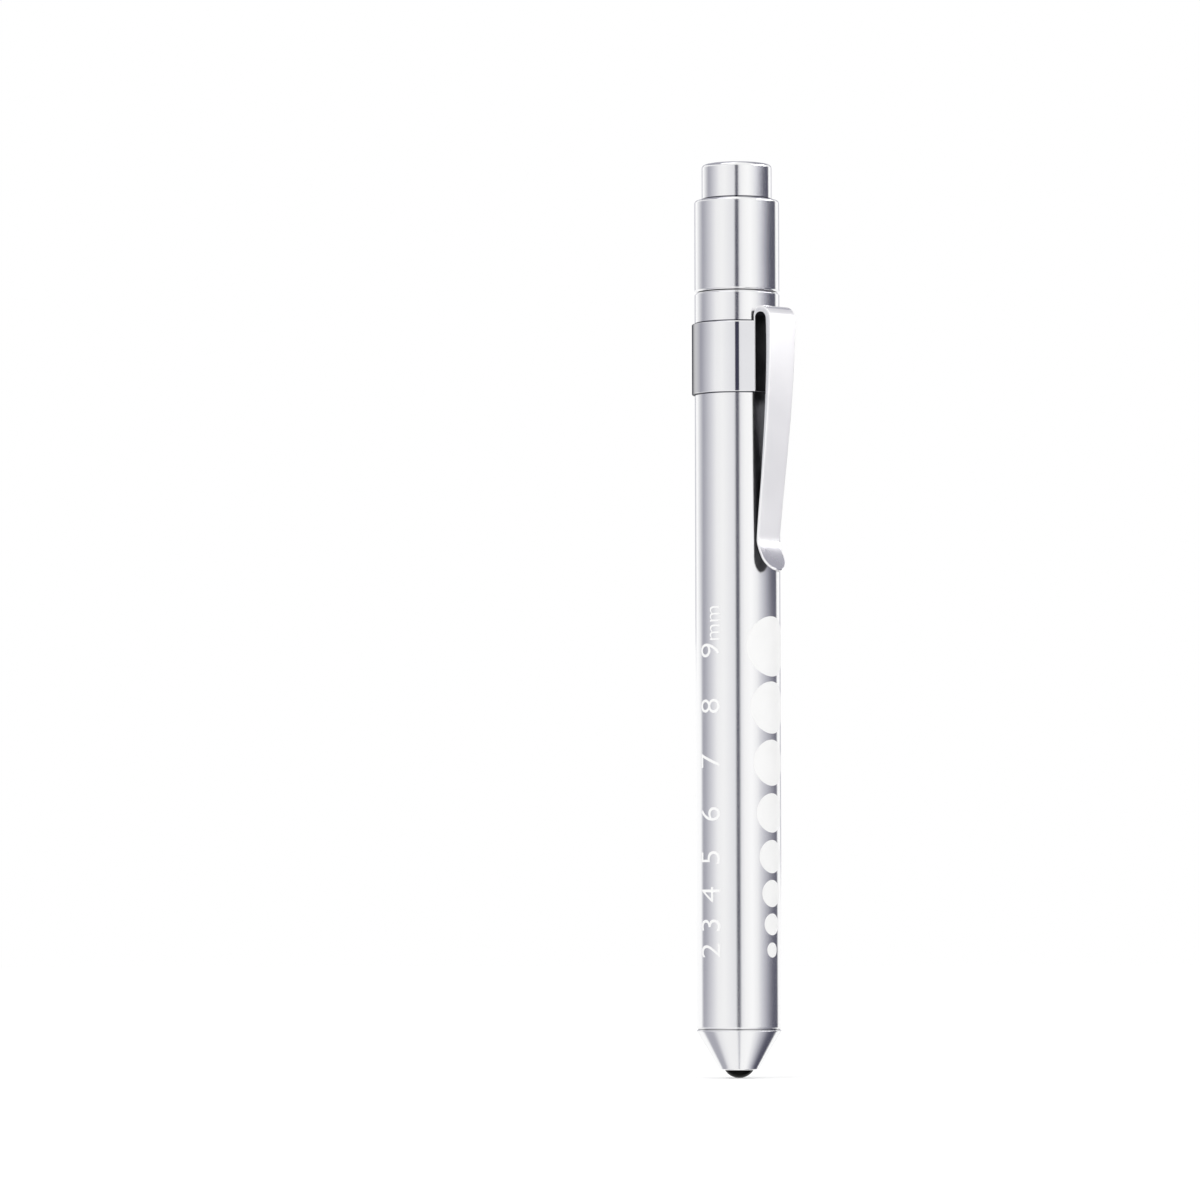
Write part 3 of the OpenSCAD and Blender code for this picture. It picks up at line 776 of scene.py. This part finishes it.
bmesh.ops.recalc_face_normals(bm, faces=bm.faces[:])
# Faces above the seal ring take the near-black steel: painted shade in the joint's gap.
for face in bm.faces:
    face.material_index = int(face.calc_center_median().z > PAINTED_SHADE_FROM)
make_piece(bm, "thread_sleeve", [turned_brass, painted_shade_steel], "tail_cap",
           ["thread_insert"])

# %% [markdown]
# ## The seal ring
# A thin rubber ring in the groove above the thread. A small circle spun about the middle line.

# %% Spin the seal ring
SEAL_R = 5.49
SEAL_WIRE = 0.24
SEAL_POINTS = 20
SEAL_STEPS = 144
QUARTER = math.pi / 2
bm = bmesh.new()
bmesh.ops.create_circle(bm, cap_ends=False, segments=SEAL_POINTS, radius=SEAL_WIRE,
                        matrix=Matrix.Translation((SEAL_R, 0, SEAL_Z))
                        @ Matrix.Rotation(QUARTER, 4, "X"))
bmesh.ops.spin(bm, geom=bm.verts[:] + bm.edges[:], cent=(0, 0, 0), axis=(0, 0, 1),
               angle=FULL_TURN, steps=SEAL_STEPS, use_merge=True)
close_up(bm)
make_piece(bm, "seal_rubber_ring", [ring_rubber], "tail_cap", ["seal_ring"])

# %% [markdown]
# ## The clip's band
# A strip of plated steel bent round the barrel, open at the back. Half of it is a small rounded
# rectangle spun through part of a turn; the other half is its mirror image.
# It starts under the flat pad of the clip, so only the pad shows there. Sheet does not bend
# sharply, so between the round part and the pad the band runs straight, in two flat flanks.

# %% Bend the band
BAND_IN = 6.32
BAND_OUT = 6.72
BAND_Z = 101.08
BAND_TOP = 111.56
BAND_FROM = math.radians(21.5)
FLANK_FROM = math.radians(38.0)
SEAM_HALF = 0.2
BAND_TO = math.pi - SEAM_HALF / ((BAND_IN + BAND_OUT) / 2)
BAND_SOFT = 0.12
BAND_STEPS = 84
bm = bmesh.new()
section = [bm.verts.new((r, 0.0, z)) for r, z in
           ((BAND_IN, BAND_Z), (BAND_OUT, BAND_Z), (BAND_OUT, BAND_TOP), (BAND_IN, BAND_TOP))]
bm.faces.new(section)
bmesh.ops.bevel(bm, geom=section, offset=BAND_SOFT, offset_type="OFFSET", affect="VERTICES",
                segments=SOFT_STEPS, profile=0.5, material=-1)
for height in (BAND_Z + BAND_SOFT + HOLD, BAND_TOP - BAND_SOFT - HOLD):
    bmesh.ops.bisect_plane(bm, geom=bm.verts[:] + bm.edges[:] + bm.faces[:],
                           plane_co=(0, 0, height), plane_no=(0, 0, 1))
bmesh.ops.rotate(bm, verts=bm.verts[:], cent=(0, 0, 0), matrix=Matrix.Rotation(BAND_FROM, 3, "Z"))
bmesh.ops.spin(bm, geom=bm.verts[:] + bm.edges[:] + bm.faces[:], cent=(0, 0, 0), axis=(0, 0, 1),
               angle=BAND_TO - BAND_FROM, steps=BAND_STEPS)
for v in bm.verts:
    turn = math.atan2(v.co.y, v.co.x)
    if turn < FLANK_FROM:
        straight = 1 / math.cos(FLANK_FROM - turn)
        v.co.x, v.co.y = v.co.x * straight, v.co.y * straight
bmesh.ops.mirror(bm, geom=bm.verts[:] + bm.edges[:] + bm.faces[:], axis="Y", merge_dist=0.0)
bmesh.ops.recalc_face_normals(bm, faces=bm.faces[:])
make_piece(bm, "clip_ring", [band_chrome], "barrel", ["clip_band"])

# %% [markdown]
# ## The clip's strip
# Pad, fold, springy arm and turned-out end are one strip of sheet. Its side view is a line of
# points: up the pad, over the fold in two quarter turns, down the arm and out at the end.
# The arm narrows downwards and ends in a half round.

# %% Side line of the strip
SHEET = 0.4
BEND_X = 7.82
BEND_Z = 112.2
BEND_OUT = 1.5
ARM_Z = 111.6
ARM_BEND_OUT = 2.1
ARM_L = 32.5
NEAR_Z = 79.08
NEAR_D = 6.8
ARM_FALL = 3.12
ARM_POWER = 1.15
FLARE_H = 4.4
FLARE_OUT = 2.2
FLARE_POWER = 1.4
TIP_Z = NEAR_Z - FLARE_H
TIP_R = 2.2
TOP_HALF = 2.6
PAD_HEIGHTS = (BAND_Z, BAND_Z + 0.3, 106.0, BEND_Z - 0.3)
RISE_STEPS = 14
FOLD_STEPS = 18
ARM_STEPS = 48
FLARE_STEPS = 24


def shares(first, count):
    """Even shares of a run, from first / count up to 1."""
    return [i / count for i in range(first, count + 1)]


side_line = [(BAND_IN, z) for z in PAD_HEIGHTS]
side_line += [(BEND_X - BEND_OUT * math.cos(QUARTER * u),
               BEND_Z + BEND_OUT * math.sin(QUARTER * u)) for u in shares(0, RISE_STEPS)]
side_line += [(BEND_X + ARM_BEND_OUT * math.sin(QUARTER * u),
               ARM_Z + ARM_BEND_OUT * math.cos(QUARTER * u)) for u in shares(1, FOLD_STEPS)]
side_line += [(NEAR_D + ARM_FALL * math.sin(QUARTER * (1 - u) ** ARM_POWER),
               NEAR_Z + ARM_L * (1 - u)) for u in shares(1, ARM_STEPS)]
side_line += [(NEAR_D + FLARE_OUT * math.sin(QUARTER * u) ** FLARE_POWER,
               NEAR_Z - FLARE_H * math.sin(QUARTER * u)) for u in shares(1, FLARE_STEPS)]


def half_width(x, z):
    """Half the strip's width at a point of its side line."""
    if x < NEAR_D - 0.1 or z > ARM_Z:
        return TOP_HALF
    if z > TIP_Z + TIP_R:
        return TIP_R + (TOP_HALF - TIP_R) * (z - TIP_Z - TIP_R) / (ARM_Z - TIP_Z - TIP_R)
    return math.sqrt(max(0.0, TIP_R ** 2 - (TIP_Z + TIP_R - z) ** 2))


print("side line:", len(side_line), "points")

# %% [markdown]
# ## From a line to a sheet
# Four copies of the side line, side by side, are bridged into a sheet, and the solidify operator
# gives it its thickness. The two outermost strips of faces are narrow: they are the edges
# that get rolled in the next step.

# %% Pull and thicken the strip
ROLL_WIDTH = 0.5
ROLL_SHARE = 0.3
TIP_MERGE = 0.001
bm = bmesh.new()


def row_of(side, inset):
    """One long row of edges of the sheet, a little inside its border."""
    points = []
    for x, z in side_line:
        half = half_width(x, z)
        points.append(bm.verts.new((x, side * (half - min(inset, ROLL_SHARE * half)), z)))
    return [bm.edges.new(pair) for pair in zip(points, points[1:])]


rows = [row_of(-1, 0), row_of(-1, ROLL_WIDTH), row_of(1, ROLL_WIDTH), row_of(1, 0)]
for first, second in zip(rows, rows[1:]):
    bmesh.ops.bridge_loops(bm, edges=first + second)
bmesh.ops.remove_doubles(bm, verts=bm.verts[:], dist=TIP_MERGE)
bmesh.ops.dissolve_degenerate(bm, edges=bm.edges[:], dist=NO_LENGTH)
bmesh.ops.recalc_face_normals(bm, faces=bm.faces[:])
bm.normal_update()
outermost = max(bm.faces, key=lambda face: face.calc_center_median().x)
if outermost.normal.x < 0:
    bmesh.ops.reverse_faces(bm, faces=bm.faces[:])
bmesh.ops.solidify(bm, geom=bm.faces[:], thickness=SHEET)
bm.normal_update()
print("strip faces", len(bm.faces))

# %% [markdown]
# ## Rolled edges
# A stamped clip gets its stiffness from edges that are rolled a little inwards. They are deepest
# on the fold and fade out along the arm. On the mesh this is one move: the inner points of the two
# outermost rows go further in. A bevel then takes the sharpness off all edges.

# %% Roll the edges in and soften them
ROLL_DEEP = 0.6
ROLL_END = 88.0
NEARBY = 0.05
EDGE_ZONE = 0.1
RIM_SOFT = 0.13
RIM_ANGLE = math.radians(55)


def roll_depth(i):
    """How far the edge is rolled in at a point of the side line."""
    x, z = side_line[i]
    if x < BEND_X and z >= BEND_Z:
        return ROLL_DEEP * (z - BEND_Z) / BEND_OUT
    if x < BEND_X:
        return 0.0
    return ROLL_DEEP * min(1.0, max(0.0, (z - ROLL_END) / (ARM_Z - ROLL_END)))


rolled = 0
for i in range(1, len(side_line) - 1):
    (x0, z0), (x, z), (x1, z1) = side_line[i - 1:i + 2]
    length = math.hypot(x1 - x0, z1 - z0)
    in_x, in_z = (z1 - z0) / length, (x0 - x1) / length
    deep, half = roll_depth(i), half_width(x, z)
    if deep > 0:
        for v in bm.verts:
            off = math.hypot(v.co.x - x - SHEET * in_x, v.co.z - z - SHEET * in_z)
            if off < NEARBY and abs(v.co.y) > half - EDGE_ZONE:
                v.co.x, v.co.z = v.co.x + deep * in_x, v.co.z + deep * in_z
                rolled += 1
bm.normal_update()
rims = [e for e in bm.edges if len(e.link_faces) == 2 and e.calc_face_angle() > RIM_ANGLE]
bmesh.ops.bevel(bm, geom=rims, offset=RIM_SOFT, offset_type="OFFSET", affect="EDGES", segments=3,
                profile=0.5, material=-1)
bm.normal_update()
print("rolled points", rolled, "strip faces", len(bm.faces))

# %% [markdown]
# ## Four finishes on one strip
# The outside of the clip is plated and bright, its cut edges are polished by use, its fold and its
# turned-out end are rubbed by pockets, and the inside and the pad's back, where shade falls,
# are painted near black: painted shade.
# Each face takes its finish from where it lies and where it looks.

# %% Finish the strip
OUTSIDE, CUT_EDGE, PAINTED_SHADE_INSIDE, RUBBED = 0, 1, 2, 3
SIDEWAYS = 0.8
UPWARDS = 0.75
for face in bm.faces:
    middle, looks = face.calc_center_median(), face.normal
    if middle.z > ARM_Z:
        inward = looks.x * (middle.x - BEND_X) + looks.z * (middle.z - ARM_Z) < 0
    elif middle.x < NEAR_D and middle.z > BAND_Z - 0.1:
        inward = looks.x > 0
    else:
        inward = looks.x < 0
    if abs(looks.y) > SIDEWAYS:
        face.material_index = CUT_EDGE
    else:
        # The pad's back against the tube is painted dark too: painted shade in the gap under the
        # pad.
        against_tube = looks.x < -SIDEWAYS and middle.x < BEND_X
        outer = RUBBED if middle.z < NEAR_Z or looks.z > UPWARDS else OUTSIDE
        # Inward faces take the near-black steel: painted shade under the clip.
        face.material_index = PAINTED_SHADE_INSIDE if inward or against_tube else outer
strip_paints = [clip_nickel, clip_edge, painted_shade_steel, clip_rubbed]
clip_strip = make_piece(bm, "clip_strip", strip_paints, None, ["clip_arm"])
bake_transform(clip_strip)

# %% [markdown]
# ## The printed gauge
# Eight white dots grow from 2 to 9 millimetres along the barrel, and each has its digit beside it.
# Print is a very thin layer, so each mark is a flat shape, cut into narrow strips,
# laid round the barrel and given a hair of thickness. On a shell this thin, finding the outside
# can go wrong, so the sign of its volume is looked at: it is below zero when a mark is inside out.

# %% Print helper
PRINT_PROUD = 0.02
PRINT_SUNK = 0.03
SLICE = 0.3
PRINT_MERGE = 0.005
PRINT_THIN = 0.001


def wrap_print(bm, turn_mid, height_mid):
    """Lays a flat shape on the barrel: its x runs up the barrel, its y runs against the turn."""
    low, high = min(v.co.y for v in bm.verts), max(v.co.y for v in bm.verts)
    for i in range(1, math.ceil((high - low) / SLICE)):
        bmesh.ops.bisect_plane(bm, geom=bm.verts[:] + bm.edges[:] + bm.faces[:],
                               plane_co=(0, low + i * SLICE, 0), plane_no=(0, 1, 0))
    bmesh.ops.remove_doubles(bm, verts=bm.verts[:], dist=PRINT_MERGE)
    bmesh.ops.dissolve_degenerate(bm, edges=bm.edges[:], dist=PRINT_THIN)
    grown = bmesh.ops.extrude_face_region(bm, geom=bm.faces[:])["geom"]
    bmesh.ops.translate(bm, verts=[v for v in grown if isinstance(v, bmesh.types.BMVert)],
                        vec=(0, 0, PRINT_PROUD + PRINT_SUNK))
    for v in bm.verts:
        radius = BARREL_R - PRINT_SUNK + v.co.z
        angle = turn_mid - v.co.y / BARREL_R
        v.co = (radius * math.cos(angle), radius * math.sin(angle), height_mid + v.co.x)
    bmesh.ops.recalc_face_normals(bm, faces=bm.faces[:])
    if bm.calc_volume(signed=True) < 0:
        bmesh.ops.reverse_faces(bm, faces=bm.faces[:])


DOT_TURN = math.radians(8.5)
DOT_POINTS = 96
DOTS = {9: (63.54, 8.9), 8: (54.52, 7.7), 7: (46.39, 6.8), 6: (39.0, 5.8), 5: (32.58, 4.9),
        4: (27.15, 4.0), 3: (22.62, 3.2), 2: (18.85, 2.2)}
for size, (height, width) in DOTS.items():
    bm = bmesh.new()
    bmesh.ops.create_circle(bm, cap_ends=True, segments=DOT_POINTS, radius=width / 2)
    wrap_print(bm, DOT_TURN, height)
    make_piece(bm, f"gauge_dot_{size}", [gauge_white], "barrel")

# %% [markdown]
# ## The digits
# Blender's own typeface is turned into a mesh, scaled to the height of the print and wrapped in
# the same way. The digits lie on their side: they are read with the nose to the left.

# %% Print the digits
DIGIT_TURN = math.radians(-68.5)
DIGIT_TALL = 3.7
DIGIT_SLIM = 0.92
UNIT_TALL = 1.7
UNIT_HEIGHT = 66.95
DIGIT_HEIGHTS = {"9": 62.95, "8": 54.74, "7": 46.7, "6": 38.85, "5": 32.45, "4": 27.0,
                 "3": 22.5, "2": 18.78}
STROKE_TRIM = -0.008
LETTER_MERGE = 0.00001


def print_word(word, name, tall, height_mid):
    """Sets a word of print on the barrel with its foot line at the digits' turn."""
    letters = bpy.data.curves.new(name, "FONT")
    letters.body = word
    letters.resolution_u = 4
    letters.offset = STROKE_TRIM
    holder = bpy.data.objects.new(name, letters)
    scene.collection.objects.link(holder)
    flat = bpy.data.meshes.new_from_object(
        holder.evaluated_get(bpy.context.evaluated_depsgraph_get()))
    bpy.data.objects.remove(holder)
    bpy.data.curves.remove(letters)
    bm = bmesh.new()
    bm.from_mesh(flat)
    bpy.data.meshes.remove(flat)
    bmesh.ops.remove_doubles(bm, verts=bm.verts[:], dist=LETTER_MERGE)
    xs, ys = [v.co.x for v in bm.verts], [v.co.y for v in bm.verts]
    grow = tall / (max(ys) - min(ys))
    bmesh.ops.translate(bm, verts=bm.verts[:], vec=(-(min(xs) + max(xs)) / 2, -min(ys), 0))
    bmesh.ops.scale(bm, verts=bm.verts[:], vec=(DIGIT_SLIM * grow, grow, 1))
    wrap_print(bm, DIGIT_TURN, height_mid)
    make_piece(bm, name, [gauge_white], "barrel")


for digit, height in DIGIT_HEIGHTS.items():
    print_word(digit, f"gauge_digit_{digit}", DIGIT_TALL, height)
print_word("mm", "gauge_unit", UNIT_TALL, UNIT_HEIGHT)

# %% [markdown]
# ## The springs
# A coil spring is a round wire that climbs as it goes round: the spin operator again, with a
# small step upwards each time. The tail spring is a little narrower at its upper end.

# %% Wind the springs
spring_wire = finish_of("spring_wire", (0.55, 0.55, 0.56), (0.70, 0.70, 0.72), (0.22, 0.34),
                        fine=6000.0, broad=400.0, metallic=1.0, tooth=0.05)
RINGS_A_TURN = 40
WIRE_POINTS = 12


def wind_coil(wire, radius, low, high, turns, top_share=1.0):
    """Winds a wire of a given radius; low and high are the heights of its middle line."""
    bm = bmesh.new()
    bmesh.ops.create_circle(bm, cap_ends=True, segments=WIRE_POINTS, radius=wire,
                            matrix=Matrix.Translation((radius, 0, low))
                            @ Matrix.Rotation(QUARTER, 4, "X"))
    steps = RINGS_A_TURN * turns
    bmesh.ops.spin(bm, geom=bm.faces[:] + bm.edges[:] + bm.verts[:], cent=(0, 0, 0),
                   axis=(0, 0, 1), angle=FULL_TURN * turns, steps=steps,
                   dvec=(0, 0, (high - low) / steps))
    for v in bm.verts:
        share = 1 - (1 - top_share) * (v.co.z - low) / (high - low)
        v.co.x, v.co.y = v.co.x * share, v.co.y * share
    bmesh.ops.recalc_face_normals(bm, faces=bm.faces[:])
    return bm


bm = wind_coil(wire=0.35, radius=2.7, low=103.25, high=110.15, turns=4, top_share=0.9)
make_piece(bm, "tail_coil", [spring_wire], "tail_spring", ["tail_spring"])
bm = wind_coil(wire=0.3, radius=3.1, low=122.12, high=133.9, turns=6)
button_coil = make_piece(bm, "button_coil", [spring_wire], "tail_cap",
                         ["button_spring"])
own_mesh(button_coil)

# %% [markdown]
# ## Finishes inside
# The other pieces inside are the CAD solids themselves. They only need their finishes: brass
# contacts, black plastic, a green board, and cells in a dark sleeve with bare steel ends.

# %% Dress the inner pieces
tinned_wire = finish_of("tinned_wire", (0.68, 0.68, 0.68), (0.80, 0.80, 0.79), (0.25, 0.4),
                        fine=8000.0, broad=600.0, metallic=1.0, tooth=0.05)
switch_plastic = finish_of("switch_plastic", (0.012, 0.012, 0.013), (0.03, 0.03, 0.032),
                           (0.4, 0.55), fine=3500.0, broad=250.0, tooth=0.12)
board_mask = finish_of("board_mask", (0.01, 0.10, 0.04), (0.03, 0.20, 0.08), (0.25, 0.4),
                       fine=2500.0, broad=700.0, tooth=0.08, coat=0.3)
chip_body = finish_of("chip_body", (0.01, 0.01, 0.01), (0.04, 0.04, 0.04), (0.45, 0.6),
                      fine=6000.0, broad=900.0, tooth=0.1)
cell_sleeve = finish_of("cell_sleeve", (0.10, 0.11, 0.13), (0.16, 0.17, 0.20), (0.22, 0.32),
                        fine=2500.0, broad=120.0, tooth=0.05, coat=0.4)
CELL_ENDS = [(14.6, 0.8), (59.0, 0.95), (102.8, 0.3)]
END_STEEL = (0.62, 0.62, 0.63)
bare_ends = tint_lines(cell_sleeve, CELL_ENDS, END_STEEL)
flip = cell_sleeve.node_tree.nodes.new("ShaderNodeMath")
flip.operation = "SUBTRACT"
flip.inputs[0].default_value = 1.0
cell_sleeve.node_tree.links.new(bare_ends, flip.inputs[1])
cell_sleeve.node_tree.links.new(
    flip.outputs[0], cell_sleeve.node_tree.nodes["Principled BSDF"].inputs["Metallic"])
INNER_FINISH = {"led_leads": tinned_wire, "led_holder": switch_plastic,
                "ground_ring": turned_brass, "lamp_board": board_mask, "lamp_resistor": chip_body,
                "lamp_contact": turned_brass, "front_cell": cell_sleeve, "rear_cell": cell_sleeve,
                "switch_body": switch_plastic, "tail_contact": turned_brass,
                "switch_retainer": turned_brass, "switch_plunger": turned_brass,
                "contact_bridge": tinned_wire}
for node, paint in INNER_FINISH.items():
    nodes[node].data.materials.clear()
    nodes[node].data.materials.append(paint)
print("inner pieces:", len(INNER_FINISH))
